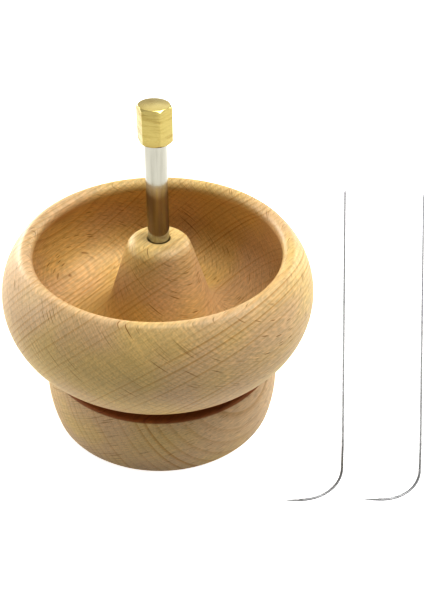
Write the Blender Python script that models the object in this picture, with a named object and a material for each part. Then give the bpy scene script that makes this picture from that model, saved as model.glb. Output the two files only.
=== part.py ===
"""Hand-spun bead spinner: a turned beech bowl on a steel rod that runs in a ball bearing in its base.

Metres, +Z up. The origin is the centre of the base's underside, and the spin axis is the Z axis.
"""
import math

import bmesh
import bpy
from mathutils import Matrix, Vector

MM = 0.001
FIT_GAP = 0.3 * MM          # between pieces that touch or seat on each other
SIDES = 48                  # facets round the wooden pieces
METAL_SIDES = 32            # facets round the small metal pieces

# Base
BASE_HEIGHT = 21.2 * MM
BASE_BELLY_RADIUS = 36.0 * MM
BASE_BELLY_CURVE = 46.6 * MM
BASE_EDGE_ROUND = 1.0 * MM
POCKET_DEPTH = 6.3 * MM
RELIEF_RADIUS = 6.0 * MM
RELIEF_DEPTH = 1.0 * MM
ROD_WELL_RADIUS = 3.5 * MM
ROD_WELL_FLOOR = 8.0 * MM

# Bowl: every section curve is an arc, given as (distance from the axis, height)
BOWL_RADIUS = 45.0 * MM
WALL_CURVE = 20.6 * MM
WALL_CENTRE = Vector((BOWL_RADIUS - WALL_CURVE, 42.7 * MM))
FOOT_HEIGHT = 22.7 * MM
RIM_ROUND = 2.3 * MM
RIM_ANGLE = 45.0
TROUGH_RADIUS = 26.0 * MM
HUB_HEIGHT = 59.2 * MM
HUB_FLAT_RADIUS = 5.4 * MM
HUB_SHOULDER = 4.0 * MM
HUB_TAPER = 18.0
RECESS_RADIUS = 8.0 * MM
RECESS_ROOF = 27.5 * MM

# Rod and what is clamped on it
ROD_RADIUS = 3.0 * MM
STUD_RADIUS = 2.2 * MM
ROD_TIP = 10.0 * MM
ROD_SHOULDER = 34.0 * MM
ROD_TOP = 87.8 * MM
STUD_TOP = 94.0 * MM
THREAD_BORE = 2.5 * MM
CHAMFER = 0.4 * MM
KNOB_HEIGHT = 9.7 * MM
KNOB_WIDTH = 8.0 * MM       # across flats
KNOB_TURN = -5.7            # a corner's bearing from +X, in degrees
WASHER_RADIUS = 5.0 * MM
WASHER_BORE = 2.65 * MM
WASHER_THICKNESS = 1.0 * MM
NUT_WIDTH = 8.0 * MM
NUT_HEIGHT = 2.7 * MM
COLLAR_RADIUS = 3.8 * MM

# Ball bearing, 5 x 16 x 5 mm
RACE_BORE = 2.5 * MM
RACE_OUTSIDE = 8.0 * MM
RACE_WIDTH = 5.0 * MM
INNER_LAND = 4.25 * MM
OUTER_LAND = 6.25 * MM
BALL_COUNT = 7
BALL_RADIUS = 1.389 * MM
PITCH_RADIUS = 5.25 * MM
BALL_PLAY = 0.2 * MM
SHIELD_SEAT = 7.2 * MM
SHIELD_THICKNESS = 0.3 * MM
SHIELD_INSET = 0.12 * MM
SEAT_DEPTH = 0.7 * MM
CAGE_INSIDE = 4.6 * MM
CAGE_OUTSIDE = 5.9 * MM
CAGE_BELOW_TOP = 0.68 * MM
CAGE_HEIGHT = 1.7 * MM
CAGE_SIDES = 42             # facets round the cage, six to a ball

# Threading needles that lie beside the spinner: (corner x, corner y, turn in degrees)
NEEDLE_RADIUS = 0.35 * MM
NEEDLE_LENGTH = 200.0 * MM
HOOK_STRAIGHT = 4.7 * MM
BEND_CURVE = 14.3 * MM
BEND_TURN = 82.0
NEEDLE_PLACES = [(55.7 * MM, -44.5 * MM, -4.4), (78.0 * MM, -43.9 * MM, -8.9)]


def material(name, colour, roughness, metallic=0.0):
    made = bpy.data.materials.new(name)
    made.use_nodes = True
    shader = made.node_tree.nodes["Principled BSDF"]
    shader.inputs["Base Color"].default_value = (*colour, 1.0)
    shader.inputs["Roughness"].default_value = roughness
    shader.inputs["Metallic"].default_value = metallic
    return made


def arc(centre, radius, start, end, steps):
    """Points on an arc, from the start angle to the end angle, both in degrees."""
    points = []
    for step in range(steps + 1):
        angle = math.radians(start + (end - start) * step / steps)
        points.append((centre[0] + radius * math.cos(angle), centre[1] + radius * math.sin(angle)))
    return points


def new_object(name, mesh, finish, parent=None):
    item = bpy.data.objects.new(name, mesh)
    bpy.context.scene.collection.objects.link(item)
    item.parent = parent
    if finish:
        mesh.materials.append(finish)
    return item


def finish_mesh(name, bm):
    bmesh.ops.remove_doubles(bm, verts=bm.verts, dist=1e-6)
    bmesh.ops.recalc_face_normals(bm, faces=bm.faces)
    mesh = bpy.data.meshes.new(name)
    bm.to_mesh(mesh)
    bm.free()
    mesh.shade_smooth()
    mesh.set_sharp_from_angle(angle=math.radians(35.0))
    return mesh


def turned(name, outline, finish, sides=METAL_SIDES, drop=0.0, parent=None):
    """A turned piece: the outline's (radius, height) points spun round the Z axis.

    An outline that starts and ends on the axis makes a solid, and any other one closes on itself.
    The heights are lowered by drop, for a piece that hangs on an empty at that height.
    """
    bm = bmesh.new()
    points = [bm.verts.new((radius, 0.0, height - drop)) for radius, height in outline]
    edges = [bm.edges.new(pair) for pair in zip(points, points[1:])]
    if outline[0][0] > 0.0:
        edges.append(bm.edges.new((points[-1], points[0])))
    bmesh.ops.spin(bm, geom=points + edges, cent=(0, 0, 0), axis=(0, 0, 1),
                   angle=2 * math.pi, steps=sides, use_merge=True)
    return new_object(name, finish_mesh(name, bm), finish, parent)


def ring(inside, outside, low, high):
    return [(inside, low), (outside, low), (outside, high), (inside, high)]


def hide_cutter(cutter):
    cutter.hide_render = True
    cutter.display_type = "WIRE"


def boolean(item, operation, cutter):
    step = item.modifiers.new(operation.title(), "BOOLEAN")
    step.operation = operation
    step.solver = "EXACT"
    step.object = cutter
    hide_cutter(cutter)


def hexagon_bar(name, across_flats, low, high, turn, parent=None):
    """A six-sided bar, used to cut a turned blank to a hexagon."""
    corner_radius = across_flats / math.sqrt(3.0)
    bm = bmesh.new()
    corners = []
    for corner in range(6):
        angle = math.radians(turn + 60.0 * corner)
        corners.append(bm.verts.new((corner_radius * math.cos(angle), corner_radius * math.sin(angle), low)))
    base = bm.faces.new(corners)
    top = bmesh.ops.extrude_face_region(bm, geom=[base])["geom"]
    bmesh.ops.translate(bm, vec=(0, 0, high - low), verts=[v for v in top if isinstance(v, bmesh.types.BMVert)])
    return new_object(name, finish_mesh(name, bm), None, parent)


def make_base(finish):
    """A low turned block with a slight belly, and a stepped pocket for the bearing and the rod's tip."""
    belly_centre = (BASE_BELLY_RADIUS - BASE_BELLY_CURVE, BASE_HEIGHT / 2)
    reach = BASE_BELLY_CURVE - BASE_EDGE_ROUND
    tilt = math.degrees(math.asin((BASE_HEIGHT / 2 - BASE_EDGE_ROUND) / reach))
    edge_radius = belly_centre[0] + reach * math.cos(math.radians(tilt))
    pocket_radius = RACE_OUTSIDE + FIT_GAP
    pocket_floor = BASE_HEIGHT - POCKET_DEPTH
    relief_floor = pocket_floor - RELIEF_DEPTH
    outline = [(0.0, 0.0)]
    outline += arc((edge_radius, BASE_EDGE_ROUND), BASE_EDGE_ROUND, -90.0, -tilt, 3)
    outline += arc(belly_centre, BASE_BELLY_CURVE, -tilt, tilt, 6)[1:-1]
    outline += arc((edge_radius, BASE_HEIGHT - BASE_EDGE_ROUND), BASE_EDGE_ROUND, tilt, 90.0, 3)
    outline += [(pocket_radius, BASE_HEIGHT), (pocket_radius, pocket_floor), (RELIEF_RADIUS, pocket_floor),
                (RELIEF_RADIUS, relief_floor), (ROD_WELL_RADIUS, relief_floor),
                (ROD_WELL_RADIUS, ROD_WELL_FLOOR), (0.0, ROD_WELL_FLOOR)]
    return turned("base", outline, finish, SIDES)


def make_bowl(finish, parent):
    """A deep round trough between a round-bellied wall and a bell-shaped hub, bored for the rod."""
    rim_direction = Vector((math.cos(math.radians(RIM_ANGLE)), math.sin(math.radians(RIM_ANGLE))))
    rim_centre = WALL_CENTRE + (WALL_CURVE - RIM_ROUND) * rim_direction
    # The trough's outer arc meets the rim's underlip without a corner
    lip = rim_centre - RIM_ROUND * rim_direction
    trough_curve = (lip[0] - TROUGH_RADIUS) / rim_direction[0]
    trough_centre = (TROUGH_RADIUS, lip[1] - trough_curve * rim_direction[1])
    trough_floor = trough_centre[1] - trough_curve
    # The hub's straight flank leaves the shoulder arc and meets the trough's inner arc
    taper = math.radians(HUB_TAPER)
    shoulder_centre = Vector((HUB_FLAT_RADIUS, HUB_HEIGHT - HUB_SHOULDER))
    flank_normal = Vector((math.cos(taper), math.sin(taper)))
    flank_start = shoulder_centre + HUB_SHOULDER * flank_normal
    to_floor = Vector((TROUGH_RADIUS, trough_floor)) - flank_start
    fillet = to_floor.dot(flank_normal) / (1.0 - flank_normal[1])
    foot_angle = math.degrees(math.asin((FOOT_HEIGHT - WALL_CENTRE[1]) / WALL_CURVE))
    bore = ROD_RADIUS + FIT_GAP
    shelf = ROD_SHOULDER - FIT_GAP

    outline = arc(WALL_CENTRE, WALL_CURVE, foot_angle, RIM_ANGLE, 13)
    outline += arc(rim_centre, RIM_ROUND, RIM_ANGLE, RIM_ANGLE + 180.0, 5)[1:]
    outline += arc(trough_centre, trough_curve, RIM_ANGLE, -90.0, 10)[1:]
    outline += arc((TROUGH_RADIUS, trough_floor + fillet), fillet, -90.0, HUB_TAPER - 180.0, 5)[1:]
    outline += arc(shoulder_centre, HUB_SHOULDER, HUB_TAPER, 90.0, 4)
    outline += [(bore, HUB_HEIGHT), (bore, shelf), (THREAD_BORE, shelf), (THREAD_BORE, RECESS_ROOF),
                (RECESS_RADIUS, RECESS_ROOF), (RECESS_RADIUS, FOOT_HEIGHT)]
    return turned("bowl", outline, finish, SIDES, parent.location.z, parent)


def make_rod(finish, parent):
    """The rod: a 6 mm barrel between a long stub that takes the nut and the bearing, and a short stud."""
    outline = [(0.0, ROD_TIP), (STUD_RADIUS - CHAMFER, ROD_TIP), (STUD_RADIUS, ROD_TIP + CHAMFER),
               (STUD_RADIUS, ROD_SHOULDER), (ROD_RADIUS, ROD_SHOULDER), (ROD_RADIUS, ROD_TOP),
               (STUD_RADIUS, ROD_TOP), (STUD_RADIUS, STUD_TOP - CHAMFER),
               (STUD_RADIUS - CHAMFER, STUD_TOP), (0.0, STUD_TOP)]
    return turned("spindle_rod", outline, finish, METAL_SIDES, parent.location.z, parent)


def make_knob(finish, parent):
    """A hexagonal brass knob with chamfered ends and a blind thread, cut from a turned blank."""
    low = ROD_TOP + FIT_GAP
    high = low + KNOB_HEIGHT
    corner = KNOB_WIDTH / math.sqrt(3.0) + FIT_GAP
    end_radius = KNOB_WIDTH / 2
    thread_end = STUD_TOP + FIT_GAP
    outline = [(0.0, thread_end), (THREAD_BORE, thread_end), (THREAD_BORE, low), (end_radius, low),
               (corner, low + 2 * CHAMFER), (corner, high - 2 * CHAMFER), (end_radius, high), (0.0, high)]
    knob = turned("hex_knob", outline, finish, METAL_SIDES, parent.location.z, parent)
    drop = parent.location.z
    bar = hexagon_bar("knob_flats", KNOB_WIDTH, low - MM - drop, high + MM - drop, KNOB_TURN, parent)
    boolean(knob, "INTERSECT", bar)
    return knob


def make_nut(finish, high, parent):
    """The thin nut that clamps the bowl against the rod's shoulder."""
    low = high - NUT_HEIGHT
    corner = NUT_WIDTH / math.sqrt(3.0) + FIT_GAP
    end_radius = NUT_WIDTH / 2
    outline = [(THREAD_BORE, low), (end_radius, low), (corner, low + 2 * CHAMFER),
               (corner, high - 2 * CHAMFER), (end_radius, high), (THREAD_BORE, high)]
    nut = turned("clamp_nut", outline, finish, METAL_SIDES, parent.location.z, parent)
    drop = parent.location.z
    bar = hexagon_bar("nut_flats", NUT_WIDTH, low - MM - drop, high + MM - drop, 0.0, parent)
    boolean(nut, "INTERSECT", bar)
    return nut


def make_races(finish, low, mid, inner_parent):
    """The bearing's two rings, each with a round groove for the balls."""
    high = low + RACE_WIDTH
    groove = BALL_RADIUS + BALL_PLAY
    centre = (PITCH_RADIUS, mid)
    inner_tilt = math.degrees(math.acos((PITCH_RADIUS - INNER_LAND) / groove))
    inner = [(RACE_BORE, low), (INNER_LAND, low)]
    inner += arc(centre, groove, 180.0 + inner_tilt, 180.0 - inner_tilt, 6)
    inner += [(INNER_LAND, high), (RACE_BORE, high)]
    turned("bearing_inner_race", inner, finish, METAL_SIDES, inner_parent.location.z, inner_parent)
    outer_tilt = math.degrees(math.acos((OUTER_LAND - PITCH_RADIUS) / groove))
    outer = [(RACE_OUTSIDE, low), (RACE_OUTSIDE, high), (SHIELD_SEAT, high), (SHIELD_SEAT, high - SEAT_DEPTH),
             (OUTER_LAND, high - SEAT_DEPTH)]
    outer += arc(centre, groove, outer_tilt, -outer_tilt, 6)
    outer += [(OUTER_LAND, low + SEAT_DEPTH), (SHIELD_SEAT, low + SEAT_DEPTH), (SHIELD_SEAT, low)]
    turned("bearing_outer_race", outer, finish)


def make_shields(finish, low):
    inside = INNER_LAND + FIT_GAP
    outside = SHIELD_SEAT - FIT_GAP
    bottom = low + SHIELD_INSET
    top = low + RACE_WIDTH - SHIELD_INSET
    turned("bearing_shield_bottom", ring(inside, outside, bottom, bottom + SHIELD_THICKNESS), finish)
    turned("bearing_shield_top", ring(inside, outside, top - SHIELD_THICKNESS, top), finish)


def make_balls_and_cage(ball_finish, cage_finish, low, parent):
    """Seven balls, and the crown cage that snaps over them and spaces them evenly."""
    mid = parent.location.z
    ball_mesh = bpy.data.meshes.new("bearing_ball")
    bm = bmesh.new()
    bmesh.ops.create_uvsphere(bm, u_segments=12, v_segments=8, radius=BALL_RADIUS)
    bm.to_mesh(ball_mesh)
    bm.free()
    ball_mesh.shade_smooth()
    ball_mesh.materials.append(ball_finish)
    pockets = bmesh.new()
    for number in range(BALL_COUNT):
        angle = 2 * math.pi * number / BALL_COUNT
        place = (PITCH_RADIUS * math.cos(angle), PITCH_RADIUS * math.sin(angle), 0.0)
        ball = new_object(f"bearing_ball_{number + 1}", ball_mesh, None, parent)
        ball.location = place
        ball.rotation_euler.z = angle
        bmesh.ops.create_uvsphere(pockets, u_segments=16, v_segments=10, radius=BALL_RADIUS + BALL_PLAY,
                                  matrix=Matrix.Translation(place) @ Matrix.Rotation(angle, 4, "Z"))
    cage_top = low + RACE_WIDTH - CAGE_BELOW_TOP
    outline = ring(CAGE_INSIDE, CAGE_OUTSIDE, cage_top - CAGE_HEIGHT, cage_top)
    cage = turned("bearing_cage", outline, cage_finish, CAGE_SIDES, mid, parent)
    cutter = new_object("cage_pockets", finish_mesh("cage_pockets", pockets), None, parent)
    boolean(cage, "DIFFERENCE", cutter)


def make_needle(name, place, finish):
    """A threading needle of fine wire, bent up near its point, lying flat beside the spinner."""
    stem = NEEDLE_LENGTH - HOOK_STRAIGHT - BEND_CURVE * math.radians(BEND_TURN)
    bend = arc((-BEND_CURVE, 0.0), BEND_CURVE, 0.0, -BEND_TURN, 10)
    away = math.radians(BEND_TURN)
    tip = (bend[-1][0] - HOOK_STRAIGHT * math.sin(away), bend[-1][1] - HOOK_STRAIGHT * math.cos(away))
    route = [(0.0, stem * step / 4) for step in range(4, 0, -1)] + bend + [tip]
    curve = bpy.data.curves.new(name, "CURVE")
    curve.dimensions = "3D"
    curve.bevel_depth = NEEDLE_RADIUS
    curve.bevel_resolution = 2
    curve.use_fill_caps = True
    spline = curve.splines.new("POLY")
    spline.points.add(len(route) - 1)
    lowest = min(y for x, y in route)
    for point, (x, y) in zip(spline.points, route):
        point.co = (x, y - lowest, 0.0, 1.0)
    needle = new_object(name, curve, finish)
    needle.location = (place[0], place[1], NEEDLE_RADIUS)
    needle.rotation_euler.z = math.radians(place[2])
    return needle


def empty_on_axis(name, height):
    item = bpy.data.objects.new(name, None)
    bpy.context.scene.collection.objects.link(item)
    item.location.z = height
    return item


def main():
    for item in list(bpy.data.objects):
        bpy.data.objects.remove(item, do_unlink=True)
    beech = material("beech", (0.62, 0.41, 0.21), 0.45)
    rod_steel = material("polished_steel", (0.72, 0.72, 0.70), 0.15, 1.0)
    brass = material("brass", (0.80, 0.62, 0.28), 0.22, 1.0)
    bearing_steel = material("bearing_steel", (0.60, 0.61, 0.62), 0.25, 1.0)
    nylon = material("cage_nylon", (0.75, 0.72, 0.62), 0.55)
    wire = material("needle_wire", (0.66, 0.66, 0.66), 0.25, 1.0)

    bearing_low = BASE_HEIGHT - POCKET_DEPTH + FIT_GAP
    bearing_mid = bearing_low + RACE_WIDTH / 2
    race_axis = empty_on_axis("spin_axis", bearing_mid)
    cage_axis = empty_on_axis("cage_axis", bearing_mid)
    bowl_axis = empty_on_axis("bowl_axis", FOOT_HEIGHT)

    make_base(beech)
    make_races(bearing_steel, bearing_low, bearing_mid, race_axis)
    make_shields(bearing_steel, bearing_low)
    make_balls_and_cage(bearing_steel, nylon, bearing_low, cage_axis)

    make_bowl(beech, bowl_axis)
    make_rod(rod_steel, bowl_axis)
    make_knob(brass, bowl_axis)
    hang = bowl_axis.location.z
    washer_top = RECESS_ROOF - FIT_GAP
    washer_low = washer_top - WASHER_THICKNESS
    washer = ring(WASHER_BORE, WASHER_RADIUS, washer_low, washer_top)
    turned("clamp_washer", washer, bearing_steel, METAL_SIDES, hang, bowl_axis)
    nut_top = washer_low - FIT_GAP
    make_nut(bearing_steel, nut_top, bowl_axis)
    collar_low = bearing_low + RACE_WIDTH + FIT_GAP
    collar = ring(THREAD_BORE, COLLAR_RADIUS, collar_low, nut_top - NUT_HEIGHT - FIT_GAP)
    turned("spacer_collar", collar, bearing_steel, METAL_SIDES, hang, bowl_axis)

    for number, place in enumerate(NEEDLE_PLACES, start=1):
        make_needle(f"needle_{number}", place, wire)


main()
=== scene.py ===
# %% [markdown]
# # A hand-spun bead spinner
# A bead spinner is a turned wooden bowl on a low wooden base. Seed beads go in the bowl, a twist of the brass
# knob spins it, and a curved needle held still among the beads picks them up onto its thread. This lesson
# builds the visible pieces around the working model. The frame gives each piece its place and outer size.
# The curves in between, the grain, the colours and the lamps are chosen here, and the last three were tuned.

import math

import bpy
from mathutils import Matrix, Vector


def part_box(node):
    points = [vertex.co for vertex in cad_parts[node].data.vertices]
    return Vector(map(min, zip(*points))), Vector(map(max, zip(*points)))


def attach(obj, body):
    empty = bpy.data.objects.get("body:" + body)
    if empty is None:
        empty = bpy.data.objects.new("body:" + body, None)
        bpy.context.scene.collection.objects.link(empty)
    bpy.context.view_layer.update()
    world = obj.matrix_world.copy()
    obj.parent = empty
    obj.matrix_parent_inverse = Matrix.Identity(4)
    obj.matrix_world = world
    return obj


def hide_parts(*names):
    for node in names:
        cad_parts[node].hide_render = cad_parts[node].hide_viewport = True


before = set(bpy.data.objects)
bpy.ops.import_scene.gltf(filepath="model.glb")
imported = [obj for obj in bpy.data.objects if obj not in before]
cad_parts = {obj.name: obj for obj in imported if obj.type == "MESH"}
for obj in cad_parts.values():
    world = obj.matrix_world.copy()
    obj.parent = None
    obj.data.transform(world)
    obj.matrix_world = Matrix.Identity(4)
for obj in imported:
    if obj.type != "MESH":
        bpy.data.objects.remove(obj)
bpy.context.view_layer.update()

# %% [markdown]
# ## Working units and colours
# Turners and machinists think in millimetres, and Blender in metres, so every size here is a number times MM.
# Colours are picked as sRGB hex values, as on any colour card, and one function turns them to the linear
# values that a shader mixes.

# %% Units, colours and selection
MM = 0.001
ORIGIN = (0.0, 0.0, 0.0)
WHITE = (1.0, 1.0, 1.0, 1.0)
UP = (0.0, 0.0, 1.0)


def linear(colour):
    """An sRGB hex colour as linear red, green, blue and alpha."""
    values = [int(colour[i:i + 2], 16) / 255 for i in (1, 3, 5)]
    return [v / 12.92 if v <= 0.04045 else ((v + 0.055) / 1.055) ** 2.4 for v in values] + [1.0]


def deselect_all():
    """A new primitive should be the only thing an operator acts on."""
    bpy.ops.object.select_all(action="DESELECT")


# %% [markdown]
# ## Turning on a lathe
# Most of this object is turned: wood on a bowl lathe, metal on a small engine lathe. In Blender the same
# thing is half an outline, drawn one vertex after another by extruding, and spun round the upright axis.
# A Screw modifier would do it too, but the spin leaves a plain mesh whose poles can be merged at once.
# The outline is made of arcs, as the turner's gouge leaves them, so no curve is a list of measured points.

# %% Lathe helpers
def arc(centre, radius, start, end, steps):
    """Points (distance from the axis, height) on an arc between two angles in degrees."""
    angles = [math.radians(start + (end - start) * step / steps) for step in range(steps + 1)]
    return [(centre[0] + radius * math.cos(a), centre[1] + radius * math.sin(a)) for a in angles]


def turn_on_lathe(name, outline, steps):
    """Draws the outline by extruding a vertex along it, and spins it all the way round."""
    deselect_all()
    bpy.ops.mesh.primitive_plane_add(size=MM)
    bpy.context.object.name = name
    bpy.ops.object.mode_set(mode="EDIT")
    bpy.ops.mesh.merge(type="CENTER")
    if outline[0][0] > 0.0:
        outline = outline + outline[:1]
    radius, height = outline[0]
    bpy.ops.transform.translate(value=(radius, 0, height))
    for (r0, z0), (r1, z1) in zip(outline, outline[1:]):
        bpy.ops.mesh.extrude_region_move(TRANSFORM_OT_translate={"value": (r1 - r0, 0, z1 - z0)})
    bpy.ops.mesh.select_all(action="SELECT")
    bpy.ops.mesh.spin(steps=steps, angle=2 * math.pi, center=ORIGIN, axis=UP)
    bpy.ops.mesh.select_all(action="SELECT")
    bpy.ops.mesh.remove_doubles(threshold=0.001 * MM)
    bpy.ops.mesh.normals_make_consistent(inside=False)
    bpy.ops.object.mode_set(mode="OBJECT")
    return bpy.context.object


def apply_modifier(piece, kind, **settings):
    """Adds a modifier, sets it and applies it."""
    modifier = piece.modifiers.new(kind.title(), kind)
    for name, value in settings.items():
        setattr(modifier, name, value)
    bpy.context.view_layer.objects.active = piece
    bpy.ops.object.modifier_apply(modifier=modifier.name)


def break_edges(piece, width, sharp=30.0):
    """Takes the keen corners off, as a touch of abrasive does."""
    apply_modifier(piece, "BEVEL", width=width, segments=2, limit_method="ANGLE",
                   angle_limit=math.radians(sharp), use_clamp_overlap=True)


def finish_piece(piece, node, body, smooth=30.0):
    """Smooth shading, and the piece's place in the model: its body, and the node it stands for, which is
    hidden.
    """
    deselect_all()
    piece.select_set(True)
    bpy.context.view_layer.objects.active = piece
    bpy.ops.object.shade_smooth_by_angle(angle=math.radians(smooth))
    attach(piece, body)
    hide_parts(node)
    print(f"{piece.name}: {len(piece.data.polygons)} faces")
    return piece


# %% [markdown]
# ## The bowl
# The bowl is one block of beech. Its outside is a single sweep of about 20 mm radius from foot to rim, the
# rim is rolled over with a 2.3 mm radius, and inside a deep trough runs between the wall and a bell-shaped
# hub. The trough undercuts the rim, which keeps the beads in while the bowl spins. Each arc starts where
# the last one ends and in the same direction, so the section has no corners but the ones a tool leaves.

# %% Bowl section
bowl_low, bowl_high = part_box("bowl")
rod_low, rod_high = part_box("spindle_rod")
BOWL_STEPS = 192
WALL_CURVE = 20.6 * MM
WALL_CENTRE = Vector((bowl_high.x - WALL_CURVE, 42.7 * MM))
RIM_ROUND = 2.3 * MM
RIM_ANGLE = 45.0
TROUGH_RADIUS = 26.0 * MM
HUB_HEIGHT = 59.2 * MM
HUB_FLAT_RADIUS = 5.4 * MM
HUB_SHOULDER = 4.0 * MM
HUB_TAPER = 18.0
RECESS_RADIUS = 8.0 * MM
RECESS_ROOF = 27.5 * MM
ROD_BORE = rod_high.x + 0.25 * MM
STUB_BORE = 2.5 * MM
BORE_SHELF = 33.7 * MM
BOWL_EDGE = 0.25 * MM

rim_way = Vector((math.cos(math.radians(RIM_ANGLE)), math.sin(math.radians(RIM_ANGLE))))
rim_centre = WALL_CENTRE + (WALL_CURVE - RIM_ROUND) * rim_way
lip = rim_centre - RIM_ROUND * rim_way
trough_curve = (lip[0] - TROUGH_RADIUS) / rim_way[0]
trough_centre = (TROUGH_RADIUS, lip[1] - trough_curve * rim_way[1])
trough_floor = trough_centre[1] - trough_curve
shoulder_centre = Vector((HUB_FLAT_RADIUS, HUB_HEIGHT - HUB_SHOULDER))
flank_normal = Vector((math.cos(math.radians(HUB_TAPER)), math.sin(math.radians(HUB_TAPER))))
flank_start = shoulder_centre + HUB_SHOULDER * flank_normal
hub_fillet = (Vector((TROUGH_RADIUS, trough_floor)) - flank_start).dot(flank_normal) / (1 - flank_normal[1])
foot_angle = math.degrees(math.asin((bowl_low.z - WALL_CENTRE[1]) / WALL_CURVE))
print(f"The trough's floor is {trough_floor / MM:.1f} mm up, and its arc {trough_curve / MM:.1f} mm")

# %% Bowl body
bowl_outline = arc(WALL_CENTRE, WALL_CURVE, foot_angle, RIM_ANGLE, 30)
bowl_outline += arc(rim_centre, RIM_ROUND, RIM_ANGLE, RIM_ANGLE + 180.0, 14)[1:]
bowl_outline += arc(trough_centre, trough_curve, RIM_ANGLE, -90.0, 24)[1:]
bowl_outline += arc((TROUGH_RADIUS, trough_floor + hub_fillet), hub_fillet, -90.0, HUB_TAPER - 180.0, 12)[1:]
bowl_outline += arc(shoulder_centre, HUB_SHOULDER, HUB_TAPER, 90.0, 10)
bowl_outline += [(ROD_BORE, HUB_HEIGHT), (ROD_BORE, BORE_SHELF), (STUB_BORE, BORE_SHELF),
                 (STUB_BORE, RECESS_ROOF), (RECESS_RADIUS, RECESS_ROOF), (RECESS_RADIUS, bowl_low.z)]
bowl = turn_on_lathe("turned_bowl", bowl_outline, BOWL_STEPS)
break_edges(bowl, BOWL_EDGE)
finish_piece(bowl, "bowl", "bowl")

# %% [markdown]
# ## The base
# The base is a second beech block, a plain puck with a slight belly. Its top holds a stepped pocket: the
# wide step seats the ball bearing, the next one keeps the bearing's inner ring clear of the wood, and the
# well in the middle is for the rod's tip.

# %% Base body
base_low, base_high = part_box("base")
race_low, race_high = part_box("bearing_outer_race")
BELLY_CURVE = 46.6 * MM
EDGE_ROUND = 1.0 * MM
RELIEF_RADIUS = 6.0 * MM
RELIEF_DEPTH = 1.0 * MM
WELL_RADIUS = 3.5 * MM
WELL_FLOOR = 8.0 * MM
SEAT_GAP = 0.15 * MM
BASE_EDGE = 0.2 * MM

base_height = base_high.z - base_low.z
belly_centre = (base_high.x - BELLY_CURVE, base_height / 2)
edge_reach = BELLY_CURVE - EDGE_ROUND
edge_tilt = math.degrees(math.asin((base_height / 2 - EDGE_ROUND) / edge_reach))
edge_radius = belly_centre[0] + edge_reach * math.cos(math.radians(edge_tilt))
pocket_radius = race_high.x + SEAT_GAP
pocket_floor = race_low.z - SEAT_GAP
base_outline = [(0.0, base_low.z)]
base_outline += arc((edge_radius, EDGE_ROUND), EDGE_ROUND, -90.0, -edge_tilt, 6)
base_outline += arc(belly_centre, BELLY_CURVE, -edge_tilt, edge_tilt, 14)[1:-1]
base_outline += arc((edge_radius, base_height - EDGE_ROUND), EDGE_ROUND, edge_tilt, 90.0, 6)
base_outline += [(pocket_radius, base_height), (pocket_radius, pocket_floor), (RELIEF_RADIUS, pocket_floor),
                 (RELIEF_RADIUS, pocket_floor - RELIEF_DEPTH), (WELL_RADIUS, pocket_floor - RELIEF_DEPTH),
                 (WELL_RADIUS, WELL_FLOOR), (0.0, WELL_FLOOR)]
base = turn_on_lathe("turned_base", base_outline, BOWL_STEPS)
break_edges(base, BASE_EDGE)
finish_piece(base, "base", "base")

# %% [markdown]
# ## The rod
# The rod is ground and polished 6 mm steel. A shoulder inside the hub carries the bowl, a thinner stub goes
# down through the nut into the bearing, and a short stud at the top takes the knob. All its ends have a
# small chamfer, so that it starts easily in its hole.

# %% Rod
CRISP = 15.0
ROD_STEPS = 64
STUB_RADIUS = 2.2 * MM
ROD_SHOULDER = 34.0 * MM
knob_low, knob_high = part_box("hex_knob")
ROD_TOP = knob_low.z - 0.1 * MM
CHAMFER = 0.4 * MM
ROD_EDGE = 0.08 * MM
rod_outline = [(0.0, rod_low.z), (STUB_RADIUS - CHAMFER, rod_low.z), (STUB_RADIUS, rod_low.z + CHAMFER),
               (STUB_RADIUS, ROD_SHOULDER), (rod_high.x, ROD_SHOULDER), (rod_high.x, ROD_TOP),
               (STUB_RADIUS, ROD_TOP), (STUB_RADIUS, rod_high.z - CHAMFER),
               (STUB_RADIUS - CHAMFER, rod_high.z), (0.0, rod_high.z)]
rod = turn_on_lathe("polished_rod", rod_outline, ROD_STEPS)
break_edges(rod, ROD_EDGE)
finish_piece(rod, "spindle_rod", "bowl", CRISP)

# %% [markdown]
# ## The hexagonal knob
# The knob starts as hexagonal brass bar in the lathe's chuck. It is faced and its ends are chamfered with
# a cone, which leaves the curved line at the top of each flat, and then drilled from below. Here the turned
# shape comes first and a six-sided bar cuts the flats, because a Boolean of the two gives exactly those
# curved lines, which a bevel along the hexagon's edges would not.

# %% Hexagonal pieces
KNOB_WIDTH = 8.0 * MM
KNOB_TURN = -5.7
KNOB_STEPS = 96
KNOB_EDGE = 0.07 * MM
FLAT_ANGLE = 20.0
THREAD_BORE = 2.5 * MM
CORNER_SPARE = 0.3 * MM
END_CHAMFER = 0.8 * MM


def cut_flats(piece, across_flats, corner_bearing):
    """Cuts six flats on a turned piece. One corner points along the bearing, in degrees from +X."""
    low = min(v.co.z for v in piece.data.vertices)
    high = max(v.co.z for v in piece.data.vertices)
    deselect_all()
    bpy.ops.mesh.primitive_cylinder_add(
        vertices=6, radius=across_flats / math.sqrt(3), depth=high - low + 2 * MM,
        location=(0, 0, (low + high) / 2), rotation=(0, 0, math.radians(corner_bearing - 90)))
    bar = bpy.context.object
    apply_modifier(piece, "BOOLEAN", operation="INTERSECT", solver="EXACT", object=bar)
    bpy.data.objects.remove(bar)


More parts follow.
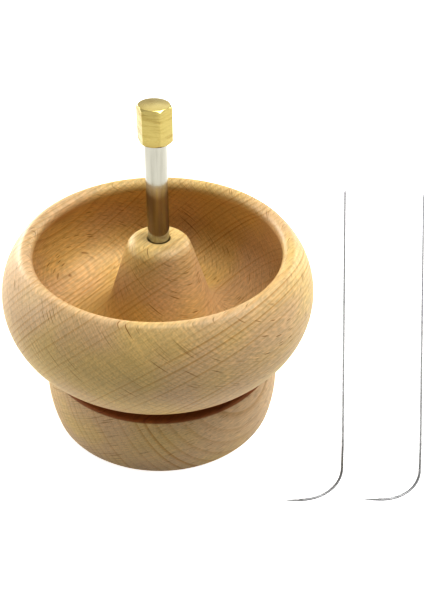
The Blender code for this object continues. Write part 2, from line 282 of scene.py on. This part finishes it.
knob_corner = KNOB_WIDTH / math.sqrt(3) + CORNER_SPARE
bore_end = rod_high.z + 0.2 * MM
knob_outline = [(0.0, bore_end), (THREAD_BORE, bore_end), (THREAD_BORE, knob_low.z),
                (KNOB_WIDTH / 2, knob_low.z), (knob_corner, knob_low.z + END_CHAMFER),
                (knob_corner, knob_high.z - END_CHAMFER), (KNOB_WIDTH / 2, knob_high.z), (0.0, knob_high.z)]
knob = turn_on_lathe("hexagonal_knob", knob_outline, KNOB_STEPS)
cut_flats(knob, KNOB_WIDTH, KNOB_TURN)
break_edges(knob, KNOB_EDGE, FLAT_ANGLE)
finish_piece(knob, "hex_knob", "bowl", CRISP)

# %% [markdown]
# ## The clamp under the bowl
# A washer and a thin nut in the recess under the bowl pull it up against the rod's shoulder, and a collar
# below them stands on the bearing's inner ring. They show when the bowl is lifted off. The nut gets its
# flats the same way as the knob.

# %% Washer, nut and collar
WASHER_BORE = 2.65 * MM
WASHER_EDGE = 0.12 * MM
COLLAR_EDGE = 0.15 * MM
NUT_EDGE = 0.06 * MM


def rounded_ring(name, node, inside, body, edge):
    """A plain turned ring of a node's height and outside, with its edges broken."""
    low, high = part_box(node)
    outline = [(inside, low.z), (high.x, low.z), (high.x, high.z), (inside, high.z)]
    piece = turn_on_lathe(name, outline, ROD_STEPS)
    break_edges(piece, edge)
    return finish_piece(piece, node, body, CRISP)


washer = rounded_ring("punched_washer", "clamp_washer", WASHER_BORE, "bowl", WASHER_EDGE)
collar = rounded_ring("turned_collar", "spacer_collar", THREAD_BORE, "bowl", COLLAR_EDGE)
nut_low, nut_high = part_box("clamp_nut")
nut_outline = [(THREAD_BORE, nut_low.z), (KNOB_WIDTH / 2, nut_low.z),
               (knob_corner, nut_low.z + END_CHAMFER), (knob_corner, nut_high.z - END_CHAMFER),
               (KNOB_WIDTH / 2, nut_high.z), (THREAD_BORE, nut_high.z)]
nut = turn_on_lathe("thin_nut", nut_outline, KNOB_STEPS)
cut_flats(nut, KNOB_WIDTH, 0.0)
break_edges(nut, NUT_EDGE, FLAT_ANGLE)
finish_piece(nut, "clamp_nut", "bowl", CRISP)

# %% [markdown]
# ## The ball bearing
# A 5 x 16 x 5 mm deep-groove bearing: two ground rings, seven balls, a crown cage that snaps over them and
# two pressed shields. The grooves are arcs a little wider than the balls. Each ball is a half circle spun
# on the same lathe helper, made once and copied, with its place in its own mesh.

# %% Bearing rings
BALL_COUNT = 7
PITCH_RADIUS = 5.25 * MM
BALL_RADIUS = 1.389 * MM
BALL_PLAY = 0.1 * MM
INNER_LAND = 4.25 * MM
OUTER_LAND = 6.25 * MM
SHIELD_SEAT = 7.2 * MM
SEAT_DEPTH = 0.7 * MM
RACE_BORE = 2.5 * MM
RACE_EDGE = 0.12 * MM
RACE_ANGLE = 50.0
GROOVE_STEPS = 12
groove = BALL_RADIUS + BALL_PLAY
ball_plane = (race_low.z + race_high.z) / 2
inner_tilt = math.degrees(math.acos((PITCH_RADIUS - INNER_LAND) / groove))
outer_tilt = math.degrees(math.acos((OUTER_LAND - PITCH_RADIUS) / groove))

inner_outline = [(RACE_BORE, race_low.z), (INNER_LAND, race_low.z)]
inner_outline += arc((PITCH_RADIUS, ball_plane), groove, 180 + inner_tilt, 180 - inner_tilt, GROOVE_STEPS)
inner_outline += [(INNER_LAND, race_high.z), (RACE_BORE, race_high.z)]
inner_race = turn_on_lathe("ground_inner_ring", inner_outline, ROD_STEPS)
break_edges(inner_race, RACE_EDGE, RACE_ANGLE)
finish_piece(inner_race, "bearing_inner_race", "bearing_inner")

outer_outline = [(race_high.x, race_low.z), (race_high.x, race_high.z), (SHIELD_SEAT, race_high.z),
                 (SHIELD_SEAT, race_high.z - SEAT_DEPTH), (OUTER_LAND, race_high.z - SEAT_DEPTH)]
outer_outline += arc((PITCH_RADIUS, ball_plane), groove, outer_tilt, -outer_tilt, GROOVE_STEPS)
outer_outline += [(OUTER_LAND, race_low.z + SEAT_DEPTH), (SHIELD_SEAT, race_low.z + SEAT_DEPTH),
                  (SHIELD_SEAT, race_low.z)]
outer_race = turn_on_lathe("ground_outer_ring", outer_outline, ROD_STEPS)
break_edges(outer_race, RACE_EDGE, RACE_ANGLE)
finish_piece(outer_race, "bearing_outer_race", "base")

# %% Shields with a pressed step
SHIELD_STEP = 0.1 * MM
SHIELD_BEND = 5.4 * MM
SHIELD_SHEET = 0.2 * MM
SHIELD_SLOPE = 0.3 * MM
SHIELD_GAP = 0.25 * MM
SHIELD_EDGE = 0.04 * MM
shields = []
for side, node in ((1, "bearing_shield_top"), (-1, "bearing_shield_bottom")):
    low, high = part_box(node)
    outer_face = high.z if side > 0 else low.z
    levels = [outer_face, outer_face - side * SHIELD_STEP]
    sheet = side * SHIELD_SHEET
    inside = INNER_LAND + SHIELD_GAP
    step_end = SHIELD_BEND + SHIELD_SLOPE
    shield_outline = [(inside, levels[1]), (SHIELD_BEND, levels[1]), (step_end, levels[0]),
                      (high.x, levels[0]), (high.x, levels[0] - sheet), (step_end, levels[0] - sheet),
                      (SHIELD_BEND, levels[1] - sheet), (inside, levels[1] - sheet)]
    shield = turn_on_lathe(node.replace("bearing", "pressed"), shield_outline, ROD_STEPS)
    break_edges(shield, SHIELD_EDGE)
    shields.append(finish_piece(shield, node, "base"))

# %% Balls
BALL_STEPS = 32


def ball_bearing_place(number):
    """Moves a point on the axis to a ball's place on the pitch circle."""
    bearing = 2 * math.pi * number / BALL_COUNT
    return Matrix.Translation((PITCH_RADIUS * math.cos(bearing), PITCH_RADIUS * math.sin(bearing), 0))


def own_copy(piece, name):
    """A copy with its own mesh."""
    twin = piece.copy()
    twin.data = piece.data.copy()
    twin.name = name
    bpy.context.scene.collection.objects.link(twin)
    return twin


ball_outline = arc((0.0, ball_plane), BALL_RADIUS, -90.0, 90.0, BALL_STEPS // 2)
ball_outline[0] = (0.0, ball_plane - BALL_RADIUS)
ball_outline[-1] = (0.0, ball_plane + BALL_RADIUS)
first_ball = turn_on_lathe("ball_1", ball_outline, BALL_STEPS)
balls = [first_ball] + [own_copy(first_ball, f"ball_{number}") for number in range(2, BALL_COUNT + 1)]

# %% Cage
CAGE_INSIDE = 4.6 * MM
CAGE_STEPS = 84
POCKET_SWELL = 1.1
cage_low, cage_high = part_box("bearing_cage")
cage_outline = [(CAGE_INSIDE, cage_low.z), (cage_high.x, cage_low.z), (cage_high.x, cage_high.z),
                (CAGE_INSIDE, cage_high.z)]
cage = turn_on_lathe("crown_cage", cage_outline, CAGE_STEPS)
centre = Matrix.Translation((0, 0, ball_plane))
swell = centre @ Matrix.Scale(POCKET_SWELL, 4) @ centre.inverted()
for number, ball in enumerate(balls):
    cutter = own_copy(ball, "pocket_cutter")
    cutter.data.transform(ball_bearing_place(number) @ swell)
    apply_modifier(cage, "BOOLEAN", operation="DIFFERENCE", solver="EXACT", object=cutter)
    bpy.data.objects.remove(cutter)
    ball.data.transform(ball_bearing_place(number))
    finish_piece(ball, f"bearing_ball_{number + 1}", "ball_cage")
finish_piece(cage, "bearing_cage", "ball_cage")

# %% [markdown]
# ## The threading needles
# A big-eye needle is two fine wires soldered together at both ends: the long slit between them is the eye,
# and the thread goes in anywhere along it. For spinning, the lower end is bent into a hook with a fine
# point. Each wire is a small disc pushed along the stem by extrude, round the bend by spin, and thinned to
# a point by scaling its last ring. A curve with a bevel would be quicker, but its end couldn't be drawn out.

# %% Needle sizes
WIRE_SIDES = 12
STEM_WIRE = 0.17 * MM
HOOK_WIRE = 0.24 * MM
WIRE_SPREAD = 0.18 * MM
NEEDLE_HEIGHT = 0.26 * MM
NEEDLE_LENGTH = 200.0 * MM
TIP_LENGTH = 5.0 * MM
SOLDER_LENGTH = 9.0 * MM
SOLDER_STEP = 0.36 * MM
HOOK_STRAIGHT = 4.7 * MM
BEND_CURVE = 14.3 * MM
BEND_TURN = 82.0
BEND_STEPS = 24
TIP_SIZE = 0.25
POINT_SIZE = 0.12
NEEDLE_PLACES = [(55.7 * MM, -44.5 * MM, -4.4), (78.0 * MM, -43.9 * MM, -8.9)]
bend = math.radians(BEND_TURN)
stem_length = NEEDLE_LENGTH - HOOK_STRAIGHT - BEND_CURVE * bend
hook_way = Vector((-math.sin(bend), -math.cos(bend), 0))
hook_drop = BEND_CURVE * math.sin(bend) + HOOK_STRAIGHT * math.cos(bend)
print(f"Each needle has {stem_length / MM:.0f} mm of stem above its bend")


# %% Needle wires
def push(way, swell=1.0):
    """Extrudes the selected end by a vector, and scales it."""
    bpy.ops.mesh.extrude_region_move(TRANSFORM_OT_translate={"value": Vector(way), "orient_type": "GLOBAL"})
    bpy.ops.transform.resize(value=(swell, swell, swell))


def needle_wire(name, side, hooked):
    """One wire of the needle, on one side of the eye. The hooked one goes on to the point."""
    spread = side * WIRE_SPREAD
    thick = HOOK_WIRE / STEM_WIRE
    deselect_all()
    bpy.ops.mesh.primitive_circle_add(
        vertices=WIRE_SIDES, radius=STEM_WIRE * TIP_SIZE, fill_type="NGON",
        location=(0, stem_length, NEEDLE_HEIGHT), rotation=(math.pi / 2, 0, 0))
    bpy.context.object.name = name
    bpy.ops.object.mode_set(mode="EDIT")
    push((spread, -TIP_LENGTH, 0), 1 / TIP_SIZE)
    push((0, TIP_LENGTH + SOLDER_LENGTH - stem_length, 0))
    if hooked:
        push((-spread, -SOLDER_LENGTH, 0), thick)
        bpy.ops.mesh.spin(steps=BEND_STEPS, angle=bend, center=(-BEND_CURVE, 0, 0), axis=UP)
        push(hook_way * HOOK_STRAIGHT * 0.3)
        push(hook_way * HOOK_STRAIGHT * 0.7, POINT_SIZE)
    else:
        push((-spread - SOLDER_STEP, -SOLDER_LENGTH, 0))
        bpy.ops.mesh.spin(steps=BEND_STEPS, angle=bend, center=(-BEND_CURVE, 0, 0), axis=UP)
        bpy.ops.transform.resize(value=(TIP_SIZE, TIP_SIZE, TIP_SIZE))
    bpy.ops.mesh.select_all(action="SELECT")
    bpy.ops.mesh.normals_make_consistent(inside=False)
    bpy.ops.object.mode_set(mode="OBJECT")
    return bpy.context.object


# %% Both needles
def make_needle(number, x, y, turn):
    """The two wires joined to one needle and laid on the table."""
    eye_wire = needle_wire("eye_wire", -1, False)
    needle = needle_wire(f"curved_needle_{number}", 1, True)
    deselect_all()
    eye_wire.select_set(True)
    needle.select_set(True)
    bpy.context.view_layer.objects.active = needle
    bpy.ops.object.join()
    lay = Matrix.Translation((x, y, 0)) @ Matrix.Rotation(math.radians(turn), 4, "Z")
    needle.data.transform(lay @ Matrix.Translation((0, hook_drop, 0)) @ needle.matrix_world)
    needle.matrix_world = Matrix.Identity(4)
    return finish_piece(needle, f"needle_{number}", f"needle_{number}")


needles = [make_needle(number, *place) for number, place in enumerate(NEEDLE_PLACES, start=1)]

# %% [markdown]
# ## Making materials
# Every finish here is worked out from the piece's own place in millimetres, so the pattern is as fine as on
# the real thing. One small function adds a node: an input that is given a socket is linked to it, and any
# other is set. Image textures would be quicker, but they end at an edge and these don't.

# %% Node helper
def new_material(name):
    """An empty material, its nodes and its shader."""
    made = bpy.data.materials.new(name)
    made.use_nodes = True
    return made, made.node_tree, made.node_tree.nodes["Principled BSDF"]


def add_node(tree, kind, settings, inputs, output=0):
    """Adds a node and gives one of its outputs. An input that is a socket is linked, any other is set."""
    node = tree.nodes.new("ShaderNode" + kind)
    for name, value in settings.items():
        setattr(node, name, value)
    for key, value in inputs.items():
        if isinstance(value, bpy.types.NodeSocket):
            tree.links.new(value, node.inputs[key])
        else:
            node.inputs[key].default_value = value
    return node.outputs[output]


def dress(piece, material):
    """Gives a piece its one material."""
    piece.data.materials.clear()
    piece.data.materials.append(material)
    print(f"{piece.name} is made of {material.name}")


MULTIPLY = {"operation": "MULTIPLY"}
SMOOTH = {"interpolation_type": "SMOOTHSTEP"}
COLOURS = {"data_type": "RGBA"}
TINT = {"data_type": "RGBA", "blend_type": "MULTIPLY"}

# %% [markdown]
# ## Beech
# Beech is pale, close-grained wood, turned, sanded and sealed with a thin satin lacquer. Three things show
# in it: growth rings, soft dark bands that end in a line where each year's late wood ends; rays, thin brown
# ribbons that run out from the heart, seen as short flecks on one face and as long fine lines on the end
# grain; and the streak of the fibres. All three are laid out in the wood's own directions, along the trunk,
# across the rings and along the rings, so every surface cut through the block shows its true figure.
#
# The base's top and the bowl's foot, which face each other across the gap, carry a painted shade: a darker
# brown between two heights, so that the gap reads as a dark line, which the lamps alone leave too pale. That
# is a choice for the eye and not a known finish of the wood.

# %% Beech colours and sizes
BEECH_YELLOW = "#e3c98e"
BEECH_PINK = "#dec29a"
LATE_WOOD = "#e4d0b0"
RAY_BROWN = "#b8935c"
# The brown of the painted shade in the gap between the bowl and the base
GAP_SHADE_BROWN = "#bd8a56"
HEART_DISTANCE = 150.0
RING_DRIFT = 3.0
RING_SLOW = (0.006, 0.07, 0.012)
RAY_SIZE = (0.21, 0.055, 3.2)
FIBRE_SIZE = (0.15, 2.4, 2.4)
HATCH_SIZE = (0.6, 0.14, 3.6)
CLOUD_SIZE = (0.02, 0.05, 0.05)
STREAK_TONE = (0.87, 1.08)
HATCH_TONE = (0.90, 1.07)
SATIN = (0.36, 0.56)


# %% Beech
def beech(name, along, across, ring_width, offset, clear, shade_full_height):
    """Beech whose fibres run along one direction, with its rings stacked in another, and with a painted shade
    between two heights. Sizes are per mm."""
    made, tree, shader = new_material(name)
    along = Vector(along).normalized()
    across = (Vector(across) - along * along.dot(Vector(across))).normalized()
    wood_frame = Matrix((along, across, along.cross(across)))
    place = add_node(tree, "TexCoord", {}, {}, "Object")
    grain = add_node(tree, "Mapping", {}, {"Vector": place, "Location": offset, "Scale": (1 / MM,) * 3,
                                           "Rotation": wood_frame.to_euler()})

    # Growth rings: the distance from the heart, gently waved, counted in ring widths
    wave_place = add_node(tree, "VectorMath", MULTIPLY, {0: grain, 1: RING_SLOW})
    wave = add_node(tree, "TexNoise", {}, {"Vector": wave_place, "Scale": 1.0, "Detail": 2.0})
    from_heart = add_node(tree, "VectorMath", {"operation": "MULTIPLY_ADD"},
                          {0: grain, 1: (0.0, 1.0, 1.0), 2: (0.0, HEART_DISTANCE, 0.0)})
    distance = add_node(tree, "VectorMath", {"operation": "LENGTH"}, {0: from_heart}, "Value")
    waved = add_node(tree, "Math", {"operation": "MULTIPLY_ADD"}, {0: wave, 1: RING_DRIFT, 2: distance})
    years = add_node(tree, "Math", {"operation": "DIVIDE"}, {0: waved, 1: ring_width})
    year = add_node(tree, "Math", {"operation": "FLOOR"}, {0: years})
    season = add_node(tree, "Math", {"operation": "FRACT"}, {0: years})
    strength = add_node(tree, "TexWhiteNoise", {"noise_dimensions": "1D"}, {"W": year}, "Value")
    ring_depth = add_node(tree, "MapRange", SMOOTH, {"Value": strength, "From Min": 0.2, "To Min": 0.4})
    patch = add_node(tree, "MapRange", SMOOTH, {"Value": wave, "From Min": 0.38, "From Max": 0.62,
                                                "To Min": 0.45})
    late = add_node(tree, "MapRange", SMOOTH, {"Value": season, "From Min": 0.45, "From Max": 0.94})
    line = add_node(tree, "MapRange", SMOOTH, {"Value": season, "From Min": 1.0, "From Max": 0.93})
    band = add_node(tree, "Math", MULTIPLY, {0: late, 1: line})
    ring_line = add_node(tree, "Math", MULTIPLY, {0: band, 1: ring_depth})
    ring = add_node(tree, "Math", MULTIPLY, {0: ring_line, 1: patch})

    # Rays: flat ribbons, thin along the ring, a few millimetres along the trunk, long across the rings.
    # Real ones are 0.1 mm thick and are drawn up to twice that, so that they show
    ray_place = add_node(tree, "VectorMath", MULTIPLY, {0: grain, 1: RAY_SIZE})
    ray_distance = add_node(tree, "TexVoronoi", {}, {"Vector": ray_place, "Scale": 1.0}, "Distance")
    ray_body = add_node(tree, "MapRange", SMOOTH, {"Value": ray_distance, "From Min": 0.30, "From Max": 0.16})
    ray_pick = add_node(tree, "TexVoronoi", {}, {"Vector": ray_place, "Scale": 1.0}, "Color")
    ray_shade = add_node(tree, "SeparateColor", {}, {"Color": ray_pick}, "Red")
    ray_depth = add_node(tree, "MapRange", {}, {"Value": ray_shade, "From Min": 0.45})
    ray = add_node(tree, "Math", MULTIPLY, {0: ray_body, 1: ray_depth})

    # Fibres: a fine streak along the trunk, and slow clouds of pinker and yellower wood
    fibre_place = add_node(tree, "VectorMath", MULTIPLY, {0: grain, 1: FIBRE_SIZE})
    fibre = add_node(tree, "TexNoise", {}, {"Vector": fibre_place, "Scale": 1.0, "Detail": 3.0})
    cloud_place = add_node(tree, "VectorMath", MULTIPLY, {0: grain, 1: CLOUD_SIZE})
    cloud_noise = add_node(tree, "TexNoise", {}, {"Vector": cloud_place, "Scale": 1.0, "Detail": 2.0})
    cloud = add_node(tree, "MapRange", SMOOTH, {"Value": cloud_noise, "From Min": 0.35, "From Max": 0.65})

    body = add_node(tree, "Mix", COLOURS, {0: cloud, 6: linear(BEECH_YELLOW), 7: linear(BEECH_PINK)}, 2)
    ringed = add_node(tree, "Mix", TINT, {0: ring, 6: body, 7: linear(LATE_WOOD)}, 2)
    rayed = add_node(tree, "Mix", TINT, {0: ray, 6: ringed, 7: linear(RAY_BROWN)}, 2)

    # Painted shade: a darker tone between two heights, on the two faces across the gap, standing for its
    # shade
    height = add_node(tree, "SeparateXYZ", {}, {"Vector": place}, "Z")
    gap_shade = add_node(tree, "MapRange", SMOOTH, {"Value": height, "From Min": clear, "From Max": shade_full_height})
    gap_shaded = add_node(tree, "Mix", TINT, {0: gap_shade, 6: rayed, 7: linear(GAP_SHADE_BROWN)}, 2)

    # Tone: the fibres' streak, and a fine hatching in the rays' direction that stands for the smallest rays
    streak = add_node(tree, "MapRange", {}, {"Value": fibre, "From Min": 0.3, "From Max": 0.7,
                                             "To Min": STREAK_TONE[0], "To Max": STREAK_TONE[1]})
    hatch_place = add_node(tree, "VectorMath", MULTIPLY, {0: grain, 1: HATCH_SIZE})
    hatch = add_node(tree, "TexNoise", {}, {"Vector": hatch_place, "Scale": 1.0, "Detail": 1.0})
    speckle = add_node(tree, "MapRange", {}, {"Value": hatch, "From Min": 0.3, "From Max": 0.7,
                                              "To Min": HATCH_TONE[0], "To Max": HATCH_TONE[1]})
    mottle = add_node(tree, "Math", MULTIPLY, {0: streak, 1: speckle})
    streaked = add_node(tree, "VectorMath", {"operation": "SCALE"}, {0: gap_shaded, "Scale": mottle})
    tree.links.new(streaked, shader.inputs["Base Color"])

    gloss = add_node(tree, "MapRange", {}, {"Value": fibre, "To Min": SATIN[0], "To Max": SATIN[1]})
    tree.links.new(gloss, shader.inputs["Roughness"])
    relief = add_node(tree, "Math", {"operation": "SUBTRACT"}, {0: fibre, 1: ray})
    bump = add_node(tree, "Bump", {}, {"Height": relief, "Strength": 0.2, "Distance": 0.05 * MM})
    tree.links.new(bump, shader.inputs["Normal"])
    return made


BOWL_ALONG = (-0.50, -0.866, 0.01)
BOWL_ACROSS = (-0.68, 0.40, 0.61)
BASE_ALONG = (0.61, 0.79, 0.0)
BASE_ACROSS = (0.69, -0.53, 0.49)
BOWL_RING = 1.4
BASE_RING = 2.2
BOWL_CUT = (40, 0, 13)
BASE_CUT = (0, 60, 7)
# The gap's painted shade: full on the half millimetre next to the gap, fading out over the next half
# millimetre
SHADE_DEPTH = 0.5 * MM
SHADE_FADE = 0.5 * MM
bowl_shade_height = bowl_low.z + SHADE_DEPTH
base_shade_height = base_height - SHADE_DEPTH
dress(bowl, beech("lacquered_beech_bowl", BOWL_ALONG, BOWL_ACROSS, BOWL_RING, BOWL_CUT,
                  bowl_shade_height + SHADE_FADE, bowl_shade_height))
dress(base, beech("lacquered_beech_base", BASE_ALONG, BASE_ACROSS, BASE_RING, BASE_CUT,
                  base_shade_height - SHADE_FADE, base_shade_height))

# %% [markdown]
# ## Metals
# The rod is centreless-ground steel, polished enough to mirror the bowl. The knob is free-cutting brass,
# left as it came from the lathe: its top keeps the fine rings of the facing tool, and its flats the smudges
# of handling. The bearing's rings and the clamp are ground steel, and the needles drawn and annealed wire.
# One function makes them all from tool marks, which follow the lathe or the wire, and slow smudges.

# %% Metals
def metal(name, colour, smudge_colour, roughness, marks, smudges, turned):
    """Bare metal with tool marks and smudges, both given as so many per mm along three directions."""
    made, tree, shader = new_material(name)
    place = add_node(tree, "TexCoord", {}, {}, "Object")
    if turned:
        # A lathe's marks depend on the distance from the axis and the height alone
        x, y, z = (add_node(tree, "SeparateXYZ", {}, {"Vector": place}, axis) for axis in "XYZ")
        flat = add_node(tree, "CombineXYZ", {}, {"X": x, "Y": y})
        radius = add_node(tree, "VectorMath", {"operation": "LENGTH"}, {0: flat}, "Value")
        mark_base = add_node(tree, "CombineXYZ", {}, {"X": radius, "Z": z})
    else:
        mark_base = place
    mark_scale = tuple(count / MM for count in marks)
    mark_place = add_node(tree, "VectorMath", MULTIPLY, {0: mark_base, 1: mark_scale})
    mark = add_node(tree, "TexNoise", {}, {"Vector": mark_place, "Scale": 1.0, "Detail": 2.0})
    smudge_scale = tuple(count / MM for count in smudges)
    smudge_place = add_node(tree, "VectorMath", MULTIPLY, {0: place, 1: smudge_scale})
    smudge_noise = add_node(tree, "TexNoise", {}, {"Vector": smudge_place, "Scale": 1.0, "Detail": 3.0})
    smudge = add_node(tree, "MapRange", SMOOTH, {"Value": smudge_noise, "From Min": 0.40, "From Max": 0.80})
    wear = add_node(tree, "Math", {"operation": "MULTIPLY_ADD"}, {0: mark, 1: 0.5, 2: smudge})
    tone = add_node(tree, "MapRange", {}, {"Value": wear, "From Min": 0.15, "From Max": 1.4})
    colours = add_node(tree, "Mix", COLOURS, {0: tone, 6: linear(colour), 7: linear(smudge_colour)}, 2)
    tree.links.new(colours, shader.inputs["Base Color"])
    rough = add_node(tree, "MapRange", {}, {"Value": wear, "From Max": 1.4, "To Min": roughness * 0.75,
                                            "To Max": roughness * 1.5})
    tree.links.new(rough, shader.inputs["Roughness"])
    bump = add_node(tree, "Bump", {}, {"Height": mark, "Strength": 0.25, "Distance": 0.01 * MM})
    tree.links.new(bump, shader.inputs["Normal"])
    shader.inputs["Metallic"].default_value = 1.0
    return made


TURNED_MARKS = (4.0, 4.0, 4.0)
DRAWN_MARKS = (8.0, 0.1, 8.0)
HANDLED = (0.45, 0.45, 0.45)
WIPED_ROUND = (0.12, 0.12, 1.1)
WIPED_ALONG = (1.2, 1.2, 0.08)
dress(rod, metal("polished_ground_steel", "#bab8ae", "#adaba0", 0.09, TURNED_MARKS, WIPED_ALONG, True))
dress(knob, metal("turned_brass", "#bdb07a", "#a08c50", 0.24, TURNED_MARKS, WIPED_ROUND, True))
bearing_steel = metal("ground_bearing_steel", "#b8babc", "#9c9ea2", 0.25, TURNED_MARKS, HANDLED, True)
for piece in (washer, collar, nut, inner_race, outer_race, *shields, *balls):
    dress(piece, bearing_steel)
needle_steel = metal("drawn_wire", "#8c8c8c", "#707070", 0.30, DRAWN_MARKS, HANDLED, False)
for needle in needles:
    dress(needle, needle_steel)

# %% [markdown]
# ## Nylon
# The cage is moulded nylon, a little see-through and milky, with the fine even grain of a spark-eroded
# mould. It shows only when the bearing is taken out.

# %% Nylon
nylon, tree, shader = new_material("moulded_nylon")
place = add_node(tree, "TexCoord", {}, {}, "Object")
mould_grain = add_node(tree, "TexNoise", {}, {"Vector": place, "Scale": 3.0 / MM, "Detail": 2.0})
milky = add_node(tree, "Mix", COLOURS, {0: mould_grain, 6: linear("#dcd4b8"), 7: linear("#cfc7aa")}, 2)
bump = add_node(tree, "Bump", {}, {"Height": mould_grain, "Strength": 0.2, "Distance": 0.02 * MM})
tree.links.new(milky, shader.inputs["Base Color"])
tree.links.new(bump, shader.inputs["Normal"])
shader.inputs["Roughness"].default_value = 0.45
shader.inputs["IOR"].default_value = 1.53
dress(cage, nylon)

# %% [markdown]
# ## Camera
# The camera looks down at about forty degrees from close by, with a slight tilt, through a normal lens.

# %% Camera
CAMERA_PLACE = (24.3 * MM, -184.0 * MM, 175.8 * MM)
LOOK_DOWN = 40.38
CAMERA_ROLL = 2.8
LENS = 46.13
FRAME_SHIFT = (-0.0467, 0.0833)
NEAREST = 10 * MM
camera_data = bpy.data.cameras.new("camera")
camera_data.lens = LENS
camera_data.shift_x, camera_data.shift_y = FRAME_SHIFT
camera_data.clip_start = NEAREST
camera = bpy.data.objects.new("camera", camera_data)
bpy.context.scene.collection.objects.link(camera)
tilt = Matrix.Rotation(math.radians(90 - LOOK_DOWN), 4, "X")
roll = Matrix.Rotation(math.radians(CAMERA_ROLL), 4, "Z")
camera.matrix_world = Matrix.Translation(CAMERA_PLACE) @ tilt @ roll
bpy.context.scene.camera = camera
print(f"The camera looks down {LOOK_DOWN} degrees through a {LENS} mm lens")

# %% [markdown]
# ## Floor
# A white table. It glows, and it is cheated: the camera and the reflections see FLOOR_SEEN, which clips to
# white, but the light it sends on to other surfaces is only FLOOR_GLOW. A table really that bright would fill
# the shadows under the bowl. The Light Path node tells the two kinds of ray apart.

# %% Floor
FLOOR_SIZE = 6.0
FLOOR_GLOW = 0.16
FLOOR_SEEN = 0.85
FLOOR_DROP = 0.05 * MM
deselect_all()
bpy.ops.mesh.primitive_plane_add(size=FLOOR_SIZE, location=(0, 0, -FLOOR_DROP))
floor = bpy.context.object
floor.name = "floor"
pale, tree, shader = new_material("white_table")
shader.inputs["Base Color"].default_value = linear("#d4d4d4")
shader.inputs["Roughness"].default_value = 0.9
shader.inputs["Emission Color"].default_value = WHITE
bounce = add_node(tree, "LightPath", {}, {}, "Is Diffuse Ray")
glow = add_node(tree, "MapRange", {}, {"Value": bounce, "To Min": FLOOR_SEEN, "To Max": FLOOR_GLOW})
tree.links.new(glow, shader.inputs["Emission Strength"])
dress(floor, pale)

# %% [markdown]
# ## Lights
# The main light is a softbox overhead with a second one high on the right, which leaves the front of the
# hub and the wall behind it in shade. Low softboxes at the left and behind light the sides of the bowl. All
# are large, so the lacquer shows broad sheens and no hard spots.

# %% Lights
LIGHT_SIZE = 0.45
LIGHT_DISTANCE = 0.8
LIGHT_AIM = Vector((0, 0, 40 * MM))


def softbox(name, azimuth, height, power):
    """A round soft light aimed at the bowl, placed by its bearing and its angle above the table."""
    a, h = math.radians(azimuth), math.radians(height)
    way = Vector((math.cos(a) * math.cos(h), math.sin(a) * math.cos(h), math.sin(h)))
    data = bpy.data.lights.new(name, "AREA")
    data.shape = "DISK"
    data.size = LIGHT_SIZE
    data.energy = power
    light = bpy.data.objects.new(name, data)
    bpy.context.scene.collection.objects.link(light)
    light.location = LIGHT_AIM + way * LIGHT_DISTANCE
    light.rotation_euler = (-way).to_track_quat("-Z", "Y").to_euler()
    print(f"{name}: {power} W at {height} degrees above the table")


softbox("top_softbox", 0, 89, 3.1)
softbox("right_softbox", 0, 55, 3.7)
softbox("back_left_softbox", 135, 15, 4.2)
softbox("back_right_softbox", 45, 15, 1.9)
softbox("left_softbox", 180, 15, 2.2)
softbox("back_softbox", 90, 38, 0.35)

# %% [markdown]
# ## Background
# Plain white all round, with the same cheat as the floor: WALLS_SEEN for the camera and the reflections, and
# WALLS_GLOW as light. The view's gamma below one then deepens the mid tones, as an edited product picture
# does. The colours above were tuned under it, so they look paler in a scene that leaves the gamma at one.

# %% Background
WALLS_SEEN = 1.0
WALLS_GLOW = 0.05
VIEW_GAMMA = 0.68
world = bpy.data.worlds.new("light_tent")
world.use_nodes = True
sky = world.node_tree
lighting = add_node(sky, "LightPath", {}, {}, "Is Diffuse Ray")
level = add_node(sky, "MapRange", {}, {"Value": lighting, "To Min": WALLS_SEEN, "To Max": WALLS_GLOW})
sky.links.new(level, sky.nodes["Background"].inputs["Strength"])
sky.nodes["Background"].inputs["Color"].default_value = WHITE
bpy.context.scene.world = world
bpy.context.scene.view_settings.view_transform = "Standard"
bpy.context.scene.view_settings.gamma = VIEW_GAMMA
